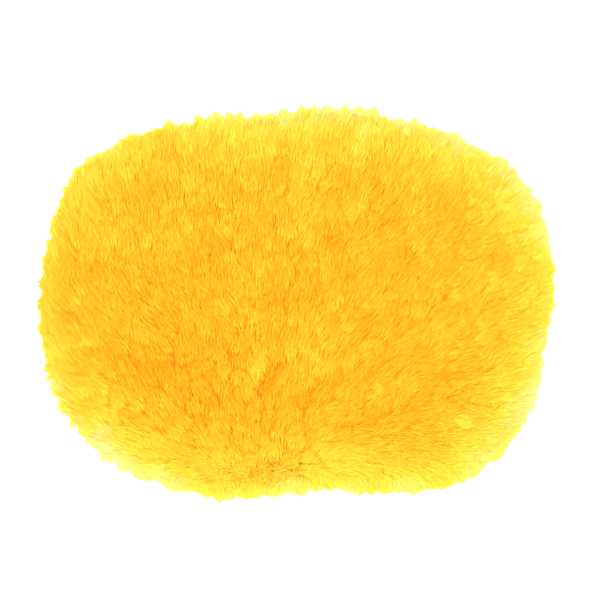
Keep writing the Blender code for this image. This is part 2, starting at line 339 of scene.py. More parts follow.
def on_tuft(angle, tufts):
    """How high the tuft is at each angle, and the turn from there to the tuft's point."""
    starts, spans, apexes, heights = tufts
    tuft = np.clip(np.searchsorted(starts, angle) - 1, 0, len(starts) - 1)
    place = (angle - starts[tuft]) / spans[tuft]
    apex = apexes[tuft]
    slope = np.where(place < apex, place / apex, (1 - place) / (1 - apex))
    return heights[tuft] * np.clip(slope, 0, 1) ** 0.8, (apex - place) * spans[tuft]


def shape_rim(path, tufts, points):
    """Gathers the strands that reach the rim into pointed tufts with notches between them."""
    tip = path[:, -1]
    angle = np.arctan2(tip[:, 1], tip[:, 0]) % (2 * math.pi)
    upper = 0.75 + 0.55 * np.maximum(np.sin(angle), 0) ** 2
    rise, swing = on_tuft(angle, tufts)
    fine_rise, fine_swing = on_tuft(angle, points)
    edge = outline_radius(angle)
    stray = RANDOM.normal(0, 0.0005, len(path))
    shorter = np.where(stray > 0.0009, -stray, np.abs(stray))
    limit = edge - RIM_DEPTH + (rise + fine_rise) * upper - shorter
    base = np.hypot(path[:, 0, 0], path[:, 0, 1])
    reach = np.hypot(tip[:, 0], tip[:, 1])
    short = np.clip((limit - base) / np.maximum(reach - base, 1e-6), 0.25, 1)
    path = path[:, :1] + (path - path[:, :1]) * short[:, None, None]
    closeness = np.clip(1 - (edge - reach * short) / 0.009, 0, 1)
    turn = (0.25 * swing + 0.45 * fine_swing) * closeness
    shares = np.linspace(0, 1, path.shape[1]) ** 1.5
    turns = turn[:, None] * shares
    return np.stack([
        path[..., 0] * np.cos(turns) - path[..., 1] * np.sin(turns),
        path[..., 0] * np.sin(turns) + path[..., 1] * np.cos(turns),
        path[..., 2],
    ], axis=-1)


def grow(side, count, tufts, points):
    """One side's strands: their paths of three points, normals, tones, and how little each is brushed."""
    seeds, seed_normals = sample_surface(LOCK_CANDIDATES, side)
    kept = make_locks(seeds)
    lock_root = seeds[kept]
    lock_normal = seed_normals[kept]
    lock_flow = along_ground(turned(flow(lock_root), RANDOM.normal(0, 0.20, len(kept))), lock_normal)
    lock_length = STRAND_LENGTH * RANDOM.uniform(0.88, 1.12, len(kept))
    lock_stand = RANDOM.uniform(0.16, 0.30, len(kept))
    lock_tone = RANDOM.normal(0, 1, len(kept))
    tree = kdtree.KDTree(len(kept))
    for index, point in enumerate(lock_root):
        tree.insert(point, index)
    tree.balance()

    root, normal = sample_surface(count, side)
    fine = outside_mouth(root)
    root, normal = root[fine], normal[fine]
    total = len(root)
    lock = np.array([tree.find(point)[1] for point in root])
    calm = 1 - brushed_share(root)
    fill = RANDOM.random(total) < FILL_SHARE
    held = np.where(fill, 0.0, 0.5)[:, None]
    way = turned(flow(root), RANDOM.normal(0, 0.15, total)) * (1 - held) + lock_flow[lock] * held
    way[:, :2] += RANDOM.normal(0, 0.3, (total, 2)) * calm[:, None]
    way = along_ground(way, normal) + RANDOM.normal(0, 0.09, (total, 3)) * (1 - np.abs(normal[:, 2:]))
    length = lock_length[lock] * RANDOM.uniform(0.72, 1.12, total) * np.where(fill, 0.86, 1.0)
    stand = np.where(fill, 0.13, lock_stand[lock]) + RANDOM.normal(0, 0.04, total)
    root = root - normal * STRAND_FOOT
    lean = unit(way + normal * stand[:, None])
    tip = root + normal * (STRAND_FOOT + length * 0.10)[:, None] + lean * length[:, None]
    lock_lean = unit(lock_flow + lock_normal * lock_stand[:, None])
    lock_tip = lock_root + lock_normal * (lock_length * 0.10)[:, None] + lock_lean * lock_length[:, None]
    pull = np.where(fill, 0.0, RANDOM.uniform(0.05, 0.50, total))[:, None]
    tip = tip * (1 - pull) + lock_tip[lock] * pull + RANDOM.normal(0, 0.0006, (total, 3))
    at_seam = np.exp(-(np.abs(root[:, 2] - SEAM_Z) / 0.005) ** 2)
    tip[:, 2] += RANDOM.normal(0, 0.0030, total) * at_seam
    bend = root + normal * (0.0030 + length * 0.30)[:, None] + way * (length * 0.24)[:, None]
    shares = np.array([0.0, 0.58, 1.0])[None, :, None]
    path = (
        (1 - shares) ** 2 * root[:, None]
        + 2 * shares * (1 - shares) * bend[:, None]
        + shares ** 2 * tip[:, None]
    )
    path = clear_mouth(shape_rim(path, tufts, points))
    path[..., 2] = np.maximum(path[..., 2], 0.0004 + 0.0006 * RANDOM.random(total)[:, None])
    # Random tone per lock and per strand, and painted shade: the fill strands, which lie low between the locks,
    # are a little deeper orange.
    speckle_and_gap_shade = 0.055 * lock_tone[lock] + RANDOM.normal(0, 0.085, total) - 0.06 * fill
    speckle_and_gap_shade -= 0.22 * (RANDOM.random(total) < 0.12)
    tone = pile_tone(path[:, 1]) + speckle_and_gap_shade * (1 - 0.7 * rim_share(root)) * (1 - 0.6 * calm)
    return path, normal, np.clip(tone, 0.01, 0.99), calm


def add_object(name, data, material=None):
    """Puts new mesh, lamp or camera data in the scene, with its material."""
    obj = bpy.data.objects.new(name, data)
    bpy.context.scene.collection.objects.link(obj)
    if material:
        data.materials.append(material)
    return obj


def strand_mesh(name, path, normal, tone, calm, material):
    """Closed tapered three-sided strands along the paths, as one mesh with its own UV layer for colour."""
    count = len(path)
    root, bend, tip = path[:, 0], path[:, 1], path[:, 2]
    along = unit(np.stack([bend - root, tip - root, tip - bend], axis=1))
    across = unit(np.cross(along, normal[:, None, :]))
    upward = np.cross(across, along)
    width = STRAND_WIDTH * RANDOM.uniform(0.7, 1.3, count)
    rings = []
    for ring, share in enumerate((0.85, 1.0)):
        for corner in range(3):
            angle = math.pi / 2 + corner * 2 * math.pi / 3
            side_step = across[:, ring] * (math.cos(angle) * share * width / 1.73)[:, None]
            up_step = upward[:, ring] * (math.sin(angle) * share * width / 2.4)[:, None]
            rings.append(path[:, ring] + side_step + up_step)
    rings.append(tip)
    vertices = np.stack(rings, axis=1)

    faces = [(0, 2, 1)]
    faces += [(corner, after, after + 3, corner + 3) for corner, after in ((0, 1), (1, 2), (2, 0))]
    faces += [(3 + corner, 3 + after, 6) for corner, after in ((0, 1), (1, 2), (2, 0))]
    loop_pattern = np.concatenate(faces)
    starts = np.cumsum([0] + [len(face) for face in faces[:-1]])

    mesh = bpy.data.meshes.new(name)
    mesh.vertices.add(vertices.shape[1] * count)
    mesh.vertices.foreach_set("co", vertices.astype(np.float32).ravel())
    loops = (np.arange(count)[:, None] * vertices.shape[1] + loop_pattern).ravel()
    mesh.loops.add(len(loops))
    mesh.loops.foreach_set("vertex_index", loops.astype(np.int32))
    mesh.polygons.add(count * len(faces))
    loop_start = (np.arange(count)[:, None] * len(loop_pattern) + starts).ravel()
    mesh.polygons.foreach_set("loop_start", loop_start.astype(np.int32))
    mesh.update(calc_edges=True)
    mesh.polygons.foreach_set("use_smooth", np.ones(count * len(faces), bool))
    layer = mesh.uv_layers.new(name=COLOUR_LAYER)
    uv = np.empty((count, len(loop_pattern), 2), np.float32)
    uv[..., 0] = tone[:, None]
    level = np.array([0.0] * 3 + [0.55] * 3 + [1.0])[loop_pattern]
    uv[..., 1] = np.clip(level + (0.8 - level) * 0.6 * calm[:, None], 0.01, 0.99)
    layer.uv.foreach_set("vector", uv.ravel())
    mesh.validate()
    return add_object(name, mesh, material)


# ---------------------------------------------------------------- materials

def new_material(name):
    """A new material with its nodes, its links and its main shader."""
    material = bpy.data.materials.new(name)
    material.use_nodes = True
    nodes = material.node_tree.nodes
    return material, nodes, material.node_tree.links, nodes["Principled BSDF"]


def set_inputs(node, values):
    for name, value in values.items():
        node.inputs[name].default_value = value


def linear(red, green, blue):
    """A colour given in 0 to 255 display values, as linear RGBA."""
    values = []
    for value in (red, green, blue):
        share = value / 255
        values.append(share / 12.92 if share <= 0.04045 else ((share + 0.055) / 1.055) ** 2.4)
    return (*values, 1.0)


def ramp(nodes, links, source, stops):
    """Colours blended by the source's value, from (place, colour) stops."""
    node = nodes.new("ShaderNodeValToRGB")
    elements = node.color_ramp.elements
    while len(elements) < len(stops):
        elements.new(0.5)
    for element, (place, colour) in zip(elements, stops):
        element.position = place
        element.color = colour
    links.new(source, node.inputs[0])
    return node.outputs["Color"]


def pile_material(name, let_through):
    """Dyed pile: tone across the UV's u, which also carries painted light (the rim's pale lemon glow, the
    crease's shade and highlight, and the shade between the locks), root to tip along its v, and a share of the
    light let through.
    """
    material, nodes, links, shader = new_material(name)
    uv = nodes.new("ShaderNodeUVMap")
    uv.uv_map = COLOUR_LAYER
    split = nodes.new("ShaderNodeSeparateXYZ")
    links.new(uv.outputs["UV"], split.inputs[0])
    root = ramp(nodes, links, split.outputs["X"], [
        (0.0, linear(254, 134, 2)),
        (0.35, linear(254, 160, 8)),
        (0.7, linear(254, 180, 14)),
        (1.0, linear(254, 198, 32)),
    ])
    tip = ramp(nodes, links, split.outputs["X"], [
        (0.0, linear(254, 196, 28)),
        (0.35, linear(254, 220, 54)),
        (0.7, linear(254, 242, 86)),
        (1.0, linear(253, 252, 190)),
    ])
    mix = nodes.new("ShaderNodeMix")
    mix.data_type = "RGBA"
    links.new(split.outputs["Y"], mix.inputs["Factor"])
    links.new(root, mix.inputs["A"])
    links.new(tip, mix.inputs["B"])
    colour = mix.outputs["Result"]
    links.new(colour, shader.inputs["Base Color"])
    set_inputs(shader, {"Roughness": 0.6, "Specular IOR Level": 0.18})
    if not let_through:
        return material
    through = nodes.new("ShaderNodeBsdfTranslucent")
    links.new(colour, through.inputs["Color"])
    both = nodes.new("ShaderNodeMixShader")
    both.inputs[0].default_value = let_through
    links.new(shader.outputs[0], both.inputs[1])
    links.new(through.outputs[0], both.inputs[2])
    links.new(both.outputs[0], nodes["Material Output"].inputs["Surface"])
    return material


def bump(nodes, links, shader, height, strength, depth):
    """Raises the surface where height is high."""
    node = nodes.new("ShaderNodeBump")
    set_inputs(node, {"Strength": strength, "Distance": depth})
    links.new(height, node.inputs["Height"])
    links.new(node.outputs["Normal"], shader.inputs["Normal"])


def bands(nodes, links, coordinates, axis, spacing, diagonal):
    """Soft ridges across one axis, spacing apart, as a value from 0 to 1."""
    turn = nodes.new("ShaderNodeMapping")
    turn.inputs["Rotation"].default_value = (0, 0, diagonal)
    links.new(coordinates, turn.inputs["Vector"])
    wave = nodes.new("ShaderNodeTexWave")
    wave.bands_direction = axis
    wave_scale = math.pi / (20 * spacing)
    set_inputs(wave, {"Scale": wave_scale, "Distortion": 0.6, "Detail": 1.0, "Detail Scale": 2.0})
    links.new(turn.outputs["Vector"], wave.inputs["Vector"])
    return wave.outputs["Fac"]


def cloth_material(name, light, dark, spacing, roughness, depth, axes=("X", "Y"), diagonal=0.0):
    """Cloth with crossing threads in its bump, their colour darker where the bump dips as painted shade between
    the threads, soft blotches of dye, and a sheen.
    """
    material, nodes, links, shader = new_material(name)
    coordinates = nodes.new("ShaderNodeTexCoord").outputs["Object"]
    first = bands(nodes, links, coordinates, axes[0], spacing[0], diagonal)
    second = bands(nodes, links, coordinates, axes[1], spacing[1], -diagonal)
    weave = nodes.new("ShaderNodeMath")
    weave.operation = "MULTIPLY"
    links.new(first, weave.inputs[0])
    links.new(second, weave.inputs[1])
    blotch = nodes.new("ShaderNodeTexNoise")
    set_inputs(blotch, {"Scale": 60, "Detail": 6})
    links.new(coordinates, blotch.inputs["Vector"])
    both = nodes.new("ShaderNodeMath")
    both.operation = "MULTIPLY_ADD"
    both.inputs[1].default_value = 0.55
    links.new(weave.outputs[0], both.inputs[0])
    links.new(blotch.outputs["Fac"], both.inputs[2])
    # Painted shade: the colour darkens where the weave's bump is low, between the threads.
    colour = ramp(nodes, links, both.outputs[0], [(0.25, linear(*dark)), (0.85, linear(*light))])
    links.new(colour, shader.inputs["Base Color"])
    bump(nodes, links, shader, weave.outputs[0], 0.7, depth)
    set_inputs(shader, {"Roughness": roughness, "Specular IOR Level": 0.3, "Sheen Weight": 0.3})
    return material


def foam_material():
    """Open-celled foam: pale, with pores that are painted darker inside as painted shade."""
    material, nodes, links, shader = new_material("foam")
    coordinates = nodes.new("ShaderNodeTexCoord").outputs["Object"]
    pores = nodes.new("ShaderNodeTexVoronoi")
    pores.inputs["Scale"].default_value = 900
    links.new(coordinates, pores.inputs["Vector"])
    # Painted shade: the pores' hollows are darker.
    colour = ramp(nodes, links, pores.outputs["Distance"], [
        (0.05, linear(196, 184, 150)),
        (0.5, linear(244, 238, 220)),
    ])
    links.new(colour, shader.inputs["Base Color"])
    bump(nodes, links, shader, pores.outputs["Distance"], 0.6, 0.0004)
    shader.inputs["Roughness"].default_value = 0.95
    return material


# ---------------------------------------------------------------- building blocks for the inside pieces

def build(name, vertices, faces, material, sharp=None):
    """A smooth-shaded mesh object with outward normals, and edges over sharp degrees left sharp."""
    mesh = bpy.data.meshes.new(name)
    mesh.from_pydata(np.asarray(vertices).tolist(), [], faces)
    bm = bmesh.new()
    bm.from_mesh(mesh)
    bmesh.ops.recalc_face_normals(bm, faces=bm.faces)
    bm.to_mesh(mesh)
    bm.free()
    mesh.shade_smooth()
    if sharp:
        mesh.set_sharp_from_angle(angle=math.radians(sharp))
    return add_object(name, mesh, material)


def attach(obj, node=None, body=None):
    """Fixes obj to its body, or else bakes its transform and leaves it on no body, and shows it in place of a
    CAD node.
    """
    if body:
        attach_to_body(obj, body)
    else:
        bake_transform(obj)
    if node:
        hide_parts(node)


def rolled(rows, columns, closed_rows=False, closed_columns=True, start=0):
    """Quads over a grid of rows by columns of vertices, joined end to end where asked."""
    faces = []
    for row in range(rows if closed_rows else rows - 1):
        below = (row + 1) % rows
        for column in range(columns if closed_columns else columns - 1):
            beside = (column + 1) % columns
            faces.append((
                start + row * columns + column,
                start + row * columns + beside,
                start + below * columns + beside,
                start + below * columns + column,
            ))
    return faces


def capped(rows, columns, start=0):
    """Faces of a closed bar whose rings of vertices lie one after another from start."""
    last = start + (rows - 1) * columns
    caps = [tuple(range(first, first + columns)) for first in (start, last)]
    return rolled(rows, columns, start=start) + caps


def torus_piece(name, rings, material, sharp=None):
    """A closed piece from rings of points that joins up both ways."""
    grid = np.array(rings)
    rows, columns = grid.shape[:2]
    return build(name, grid.reshape(-1, 3), rolled(rows, columns, True), material, sharp)


def tubes(name, paths, radii, material, closed=False, sides=6):
    """Threads: round tubes along the paths, pinched shut at both ends, or joined end to start if closed."""
    vertices, faces = [], []
    turns = np.arange(sides) * 2 * math.pi / sides
    for path, radius in zip(paths, radii):
        path = np.asarray(path)
        count = len(path)
        along = unit(np.roll(path, -1, 0) - np.roll(path, 1, 0) if closed else np.gradient(path, axis=0))
        upright = np.array([0.0, 0.0, 1.0]) if abs(along[:, 2]).max() < 0.9 else np.array([0.31, 0.95, 0.05])
        across = unit(np.cross(along, upright))
        upward = np.cross(across, along)
        thick = np.full(count, radius)
        if not closed:
            thick[0] = thick[-1] = radius * 0.35
        ring = (
            path[:, None]
            + across[:, None] * (np.cos(turns)[:, None] * thick[:, None, None])
            + upward[:, None] * (np.sin(turns)[:, None] * thick[:, None, None])
        )
        start = len(vertices)
        vertices.extend(ring.reshape(-1, 3))
        faces += rolled(count, sides, True, start=start) if closed else capped(count, sides, start)
    return build(name, vertices, faces, material)


def inset(edge, distance):
    """An outline's three half sizes, moved in by distance."""
    return tuple(half - distance for half in edge)


def plan_point(edge, angle):
    """Points on a superellipse outline, as x and y."""
    closed_half, mouth_half, half_y = edge
    c, s = np.cos(angle), np.sin(angle)
    power = 2 / ROUNDNESS
    x = np.where(c > 0, mouth_half, closed_half) * np.sign(c) * np.abs(c) ** power
    y = half_y * np.sign(s) * np.abs(s) ** power
    return x, y


def dome_rings(edge, side, rise, shoulder, columns, crown_rows=16, shoulder_rows=12):
    """Rings from near the crown's middle, over its flat top and round the shoulder, to the seam plane."""
    angle = np.arange(columns) * 2 * math.pi / columns
    rings = []
    for row in range(1, crown_rows + 1):
        share = row / crown_rows
        x, y = plan_point(inset(edge, shoulder), angle)
        rings.append(np.stack([x * share, y * share, np.full(columns, SEAM_Z + side * rise)], axis=-1))
    for row in range(1, shoulder_rows + 1):
        bend = math.pi / 2 * (1 - row / shoulder_rows)
        x, y = plan_point(inset(edge, shoulder * (1 - math.cos(bend))), angle)
        level = GAP / 3 + (rise - GAP / 3) * math.sin(bend)
        rings.append(np.stack([x, y, np.full(columns, SEAM_Z + side * level)], axis=-1))
    return np.array(rings)


def hollow_shell(name, outer, inner, material):
    """A closed shell between two sets of dome rings, joined along their rims."""
    columns = outer.shape[1]
    rings = np.concatenate([outer, inner[::-1]])
    vertices = list(rings.reshape(-1, 3))
    faces = rolled(len(rings), columns)
    for ring, first in ((outer[0], 0), (inner[0], (len(rings) - 1) * columns)):
        middle = len(vertices)
        vertices.append(ring.mean(axis=0))
        for column in range(columns):
            faces.append((first + column, first + (column + 1) % columns, middle))
    return build(name, vertices, faces, material)


def cut_mouth(obj):
    """Cuts a shell off straight at the bag's open end, and closes the cut cloth edge."""
    bm = bmesh.new()
    bm.from_mesh(obj.data)
    everything = bm.verts[:] + bm.edges[:] + bm.faces[:]
    result = bmesh.ops.bisect_plane(
        bm, geom=everything, plane_co=(MOUTH_X, 0, 0), plane_no=(1, 0, 0), clear_outer=True
    )
    edges = [item for item in result["geom_cut"] if isinstance(item, bmesh.types.BMEdge)]
    bmesh.ops.triangle_fill(bm, use_beauty=True, edges=edges)
    bmesh.ops.recalc_face_normals(bm, faces=bm.faces)
    bm.to_mesh(obj.data)
    bm.free()
    obj.data.shade_smooth()
    obj.data.set_sharp_from_angle(angle=math.radians(50))


def oval_turn(share, half_straight, radius):
    """Shares of the way round an oval with two straight sides, as the bend's centre and the turn about it."""
    straight = 2 * half_straight
    bend = math.pi * radius
    corners = np.cumsum([0, straight, bend, straight, bend])
    along = (share % 1) * corners[-1]
    centre = np.interp(along, corners, half_straight * np.array([1, -1, -1, 1, 1]))
    turn = np.interp(along, corners, math.pi * np.array([0.5, 0.5, 1.5, 1.5, 2.5]))
    return centre, turn


def oval(share, radius, x):
    """Points round the cuff's oval, at each share of the way round."""
    centre, turn = oval_turn(share, CUFF_STRAIGHT, CUFF_RADIUS)
    y = centre + radius * np.cos(turn)
    z = SEAM_Z + radius * np.sin(turn)
    return np.stack([np.broadcast_to(x, y.shape), y, z], axis=-1)


OVAL_LENGTH = 4 * CUFF_STRAIGHT + 2 * math.pi * CUFF_RADIUS


# ---------------------------------------------------------------- the pile's pieces

def undercoat(name, side, node, material):
    """The felted wool under the strands: a closed hollow shell round the bag, with its half of the mouth."""
    columns, rows = 180, 44
    angles = np.arange(columns) * 2 * math.pi / columns
    outer = []
    for turn in np.linspace(0.03, 1, rows):
        ring = undercoat_point(angles, np.full(columns, turn), side)
        ring[:, 2] += side * 0.0001
        outer.append(ring)
    cavity = dome_rings(inset(BAG_EDGE, -2 * GAP), side, BAG_RISE[side] + 2 * GAP, BAG_SHOULDER, columns)
    cavity[..., 0] = np.minimum(cavity[..., 0], MOUTH_X + BACKING + 2 * GAP)
    obj = hollow_shell(name, np.array(outer), cavity, material)
    share = np.arange(140) / 140
    mouth_radius = CUFF_RADIUS + 0.0006
    ends = [oval(share, mouth_radius, x) for x in (MOUTH_X + GAP, 2 * HALF_X)]
    cutter = build("mouth_cutter", np.concatenate(ends), capped(2, len(share)), material)
    boolean = obj.modifiers.new("mouth", "BOOLEAN")
    boolean.operation = "DIFFERENCE"
    boolean.solver = "EXACT"
    boolean.object = cutter
    bpy.context.view_layer.update()
    mesh = bpy.data.meshes.new_from_object(obj.evaluated_get(bpy.context.evaluated_depsgraph_get()))
    obj.modifiers.clear()
    obj.data = mesh
    bpy.data.objects.remove(cutter)
    points = np.array([vertex.co for vertex in mesh.vertices])
    # The felt takes the pile's tone with its painted light (the crease's shade and highlight) and less of the
    # rim's painted glow.
    tone = np.clip(pile_tone(points) - 0.05 - 0.25 * rim_share(points), 0.01, 0.99)
    level = 0.35 + 0.45 * (1 - brushed_share(points))
    uv = np.stack([tone, level], axis=-1)[[loop.vertex_index for loop in mesh.loops]]
    mesh.uv_layers.new(name=COLOUR_LAYER).uv.foreach_set("vector", uv.astype(np.float32).ravel())
    mesh.shade_smooth()
    mesh.set_sharp_from_angle(angle=math.radians(50))
    attach(obj, node)


def pile_pieces(side, count, label, tufts, points, material):
    """The strands of one side, in pieces. Those near the seam are left on no body, the rest ride on their half.
    """
    path, normal, tone, calm = grow(side, count, tufts, points)
    if side > 0:
        free = path[..., 2].min(axis=1) > STRETCH_TO
    else:
        free = path[..., 2].max(axis=1) < STRETCH_FROM
    own_half = "front_half" if side > 0 else "back_half"
    angle = np.arctan2(path[:, 0, 1], path[:, 0, 0])
    for group, group_label, body in ((free, label, own_half), (~free, label + "_rim", None)):
        chosen = np.flatnonzero(group)
        chosen = chosen[np.argsort(angle[chosen])]
        parts = max(1, math.ceil(len(chosen) / STRANDS_PER_PIECE))
        for number, part in enumerate(np.array_split(chosen, parts), 1):
            name = f"{group_label}_{number}"
            obj = strand_mesh(name, path[part], normal[part], tone[part], calm[part], material)
            attach(obj, body=body)


# ---------------------------------------------------------------- the bag and what is in it

def bag_layer(kind, edge, rises, shoulder, thickness, grid, unevenness, material):
    """Both halves of one cloth layer of the bag: thin shells, cut straight at the mouth."""
    for half, side in (("front", 1), ("back", -1)):
        rise = rises[side]
        outer = dome_rings(edge, side, rise, shoulder, *grid)
        inner = dome_rings(inset(edge, thickness), side, rise - thickness, shoulder - thickness, *grid)
        for rings in (outer, inner):
            height = np.clip(np.abs(rings[..., 2] - SEAM_Z) / rise, 0, 1)
            rings[..., 2] += side * unevenness(rings, height, side)
        obj = hollow_shell(f"{half}_{kind}_cloth", outer, inner, material)
        cut_mouth(obj)
        attach(obj, f"{half}_{kind}")


def knit_unevenness(rings, height, side):
    """The knitted backing's slight waviness, none of it at the seam."""
    return 0.00012 * smooth_noise(rings, 0.012, 31) * height


def lining_creases(rings, height, side):
    """Soft creases in the lining that run in from the mouth and the seam, sunk into the cloth."""
    stretched = rings * np.array([0.35, 1.0, 0.0])
    crease = smooth_noise(stretched, 0.012, 41 + side) + 0.5 * smooth_noise(rings, 0.009, 43)
    return -0.0009 * np.clip(0.5 + 0.5 * crease, 0, 1) ** 2 * height ** 2


def foam_sheet(material):
    """The foam between the palm's lining and backing: a soft-edged slab with a slightly bumpy skin."""
    low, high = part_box("palm_wadding")
    shoulder = -low.x
    edge = (shoulder, shoulder + MOUTH_FLARE, high.y)
    rounding = (high.z - low.z) / 2
    columns = 200
    angle = np.arange(columns) * 2 * math.pi / columns

    def ring(share, distance, z):
        x, y = plan_point(inset(edge, distance), angle)
        return np.stack([x * share, y * share, np.full(columns, z)], axis=-1)

    shares = np.linspace(0.04, 1, 18)
    rings = [ring(share, rounding, low.z) for share in shares]
    for bend in np.linspace(-0.5, 0.5, 9)[1:-1] * math.pi:
        rings.append(ring(1, rounding * (1 - math.cos(bend)), low.z + rounding * (1 + math.sin(bend))))
    rings += [ring(share, rounding, high.z) for share in shares[::-1]]
    rings = np.array(rings)
    rings[..., 0] = np.minimum(rings[..., 0], high.x)
    rings[..., 2] += 0.00012 * smooth_noise(rings, 0.006, 51)
    rings[..., 2] = np.clip(rings[..., 2], low.z, high.z)
    obj = build("palm_foam", rings.reshape(-1, 3), capped(len(rings), columns), material, 60)
    attach(obj, "palm_wadding", "front_half")


def seam_path(distance):
    """Points along the bag's sewn edge, moved in by distance, from one side of the mouth to the other."""
    angle = np.linspace(0, 2 * math.pi, 4001)
    x, y = plan_point(inset(BAG_EDGE, distance), angle)
    part = x < MOUTH_X - 2 * GAP
    x, y = x[part], y[part]
    gaps = np.hypot(np.diff(x), np.diff(y))
    run = np.concatenate([[0], np.cumsum(gaps)])
    return x, y, run


def along_seam(distance, places):
    """Points on the sewn edge at the given shares of its length."""
    x, y, run = seam_path(distance)
    at = places * run[-1]
    return np.stack([np.interp(at, run, x), np.interp(at, run, y)], axis=-1)


def seam_edges(material, outer_inset, inner_inset):
    """The two trimmed cloth edges inside the seam, slightly wavy."""
    low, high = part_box("seam_allowance")
    steps = 520
    places = np.linspace(0, 1, steps)
    ply = (high.z - low.z) / 2
    vertices, faces = [], []
    for number in range(2):
        middle = low.z + ply * (number + 0.5)
        wave = 0.00022 * np.sin(places * 900 + number * 2) + 0.00015 * np.sin(places * 371 + 1)
        half = ply * 0.42
        outer_edge = along_seam(outer_inset, places)
        inner_edge = along_seam(inner_inset, places)
        inward = unit(inner_edge - outer_edge)
        inner_edge = inner_edge - inward * (0.00035 + wave)[:, None]
        level = middle + 0.00008 * np.sin(places * 640 + number)
        corners = []
        for edge, lift in ((outer_edge, -half), (outer_edge, half), (inner_edge, half), (inner_edge, -half)):
            corners.append(np.concatenate([edge, (level + lift)[:, None]], axis=1))
        grid = np.stack(corners, axis=1)
        faces += capped(steps, 4, len(vertices))
        vertices.extend(grid.reshape(-1, 3))
    attach(build("seam_edges", vertices, faces, material, 50), "seam_allowance")


def seam_overlock(material, outer_inset, inner_inset):
    """The overlock thread that zigzags over the seam's cloth edges, and the two that run along them."""
    low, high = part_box("seam_thread")
    level = (low.z + high.z) / 2
    radius = 0.00020
    total = float(seam_path(outer_inset)[2][-1])
    stitches = int(total / 0.0026)
    places = np.linspace(0.002, 0.998, stitches * 4 + 1)
    outer_line = along_seam(outer_inset + 0.0003, places)
    inner_line = along_seam(inner_inset - 0.0003, places)
    phase = np.arange(len(places)) * math.pi / 2
    swing = 0.5 - 0.5 * np.cos(phase)
    zigzag = outer_line * (1 - swing)[:, None] + inner_line * swing[:, None]
    lines = []
    for line, height in (
        (zigzag, 0.00012 * np.sin(phase)),
        (outer_line, 0.00020 + 0.00010 * np.sin(phase + 1.2)),
        (inner_line, 0.00020 + 0.00012 * np.sin(phase + 1.2)),
    ):
        lines.append(np.concatenate([line, (level + height)[:, None]], axis=1))
    radii = [radius, radius * 0.8, radius * 0.8]
    attach(tubes("overlock_thread", lines, radii, material), "seam_thread")


# ---------------------------------------------------------------- the mouth

def facing_piece(material):
    """The gathered ring of cloth that closes the bag's open end round the cuff."""
    low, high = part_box("mouth_facing")
    columns, rows = 420, 8
    share = np.arange(columns) / columns
    hole = CUFF_RADIUS + GAP
    inner = oval(share, hole, 0.0)
    outer = inner.copy()
    outer[:, 1] *= high.y / (CUFF_STRAIGHT + hole)
    level = (inner[:, 2] - SEAM_Z) / hole
    outer[:, 2] = SEAM_Z + np.where(level > 0, level * (high.z - SEAM_Z), level * (SEAM_Z - low.z))
    gather = np.sin(share * 2 * math.pi * 58 + 1.5 * np.sin(share * 2 * math.pi * 7))
    rings = []
    middle = (low.x + high.x) / 2
    half = (high.x - low.x) / 2 - 0.0002
    for face in (1, -1):
        for row in range(rows + 1):
            out = row / rows if face > 0 else 1 - row / rows
            ring = inner * (1 - out) + outer * out
            ring[:, 0] = middle + face * (half - 0.0002) + 0.0002 * gather * (1 - out * 0.6)
            rings.append(ring)
    attach(torus_piece("gathered_facing", rings, material, 60), "mouth_facing")


def cuff_profile():
    """Points round the cuff wall's section as (x, radius, depth of the ribs there, below 0 inside)."""
    band_low, band_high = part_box("cuff_elastic")
    groove = band_low.x - GAP, band_high.x + GAP
    floor = CUFF_RADIUS - 0.0013
    soft = 0.0005
    points = []
    for x in np.linspace(CUFF_LOW.x + soft, groove[0] - soft, 16):
        points.append((x, CUFF_RADIUS, 1.0))
    points += [(groove[0] - soft * 0.2, CUFF_RADIUS - soft * 0.4, 0.8), (groove[0], floor + soft, 0.4)]
    for x in np.linspace(groove[0] + soft, groove[1] - soft, 6):
        points.append((x, floor, 0.2))
    points += [(groove[1], floor + soft, 0.4), (groove[1] + soft * 0.2, CUFF_RADIUS - soft * 0.4, 0.8)]
    middle = CUFF_RADIUS - CUFF_WALL / 2
    end = CUFF_HIGH.x - CUFF_WALL / 2
    for step in range(0, 9):
        bend = math.pi * (0.5 - step / 8)
        points.append((end + CUFF_WALL / 2 * math.cos(bend), middle + CUFF_WALL / 2 * math.sin(bend), 1.0))
    for x in np.linspace(end - soft, CUFF_LOW.x + soft, 22):
        points.append((x, CUFF_RADIUS - CUFF_WALL, -1.0))
    points.append((CUFF_LOW.x, middle, 0.3))
    return points


def cuff_piece(material):
    """The ribbed, knitted cuff, drawn in by the elastic in its hem."""
    ribs = round(OVAL_LENGTH / 0.0023)
    columns = ribs * 7
    share = np.arange(columns) / columns
    rib = np.cos(share * ribs * 2 * math.pi)
    drawn = np.sin(share * 2 * math.pi * 31 + 1.3 * np.sin(share * 2 * math.pi * 5))
    rings = []
    for x, radius, depth in cuff_profile():
        near_band = math.exp(-((x - CUFF_HIGH.x + 0.006) / 0.008) ** 2)
        knit_row = 0.00006 * math.sin(x / 0.0016 * 2 * math.pi)
        waves = 0.00022 * rib if depth < 0 else 0.00030 * (rib - 1) * depth
        waves = waves - 0.00022 * (1 + drawn) * near_band + knit_row
        rings.append(oval(share, radius + waves, x))
    attach(torus_piece("ribbed_cuff", rings, material), "cuff")


